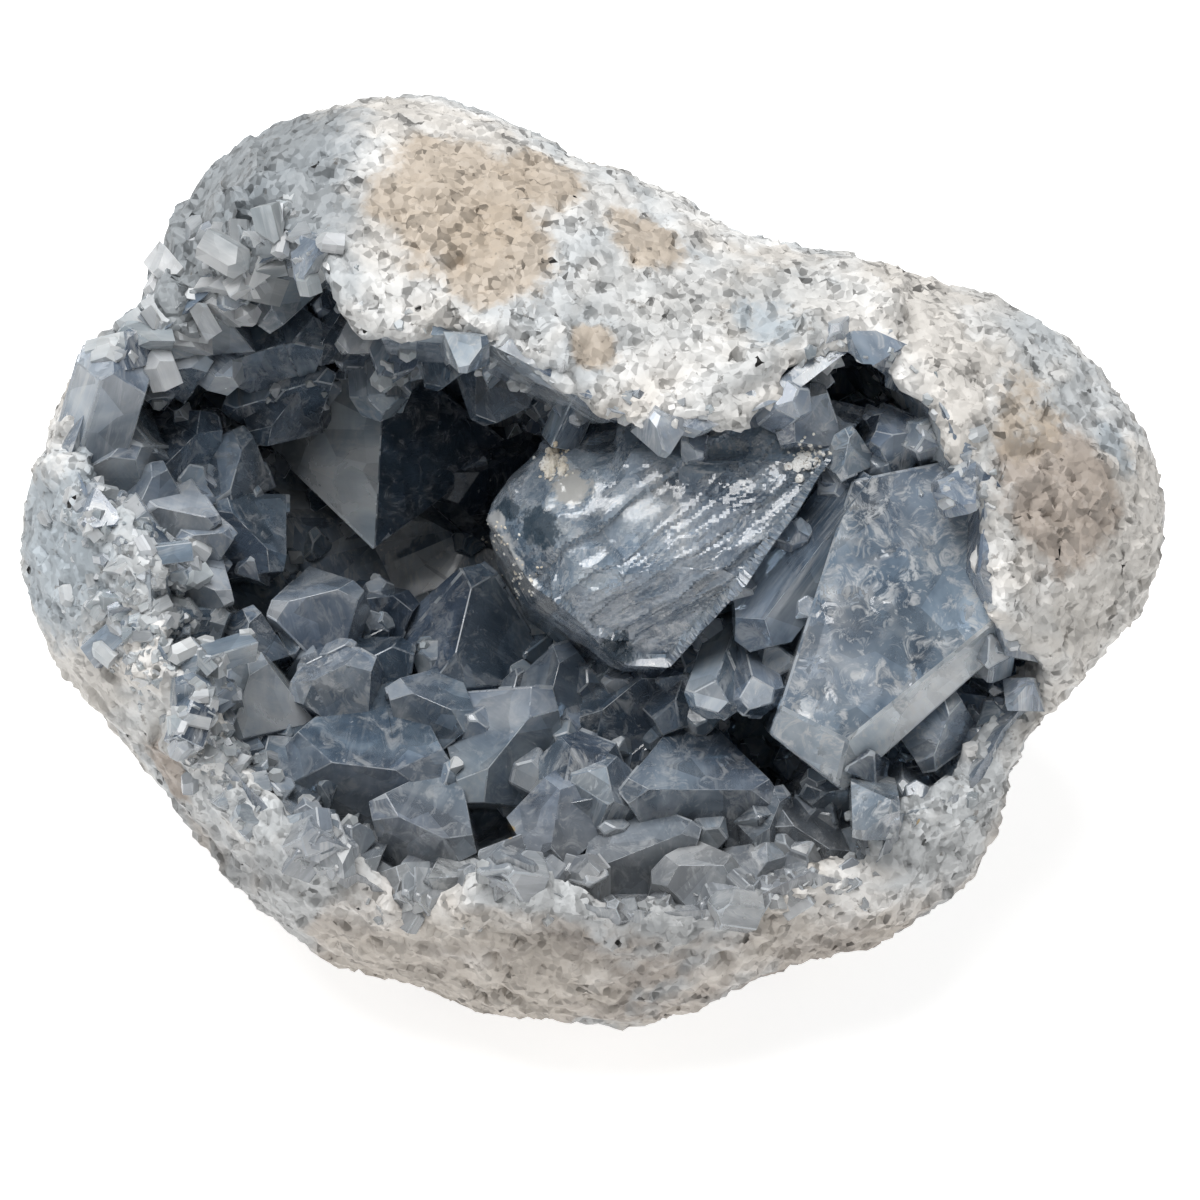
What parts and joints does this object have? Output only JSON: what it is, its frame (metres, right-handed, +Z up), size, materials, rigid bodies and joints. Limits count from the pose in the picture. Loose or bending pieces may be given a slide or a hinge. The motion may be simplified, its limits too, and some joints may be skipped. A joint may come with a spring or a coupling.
{
  "type": "celestite geode",
  "caption": "Half of a hollow mineral nodule, broken open at the front and lined with a crust of blocky blue-grey crystals. It rests on a small flat spot.",
  "frame": {"origin": "middle of the bounding box in plan, at the height of the flat spot that the nodule rests on", "axes": "+Z up, +X along the long side, -Y out of the front, where the mouth of the hollow looks out and up"},
  "size_m": [0.1596, 0.1163, 0.1143],
  "materials": {
    "rind": "weathered granular mineral rind, white to cream with tan clay patches and brown pits, fully matt",
    "crystal": "clear to cloudy blue-grey crystal with veils and cleavage, some faces glossy and some frosted"
  },
  "bodies": {
    "root": {"rind": "rind", "crystal_crust": "crystal"}
  },
  "joints": []
}
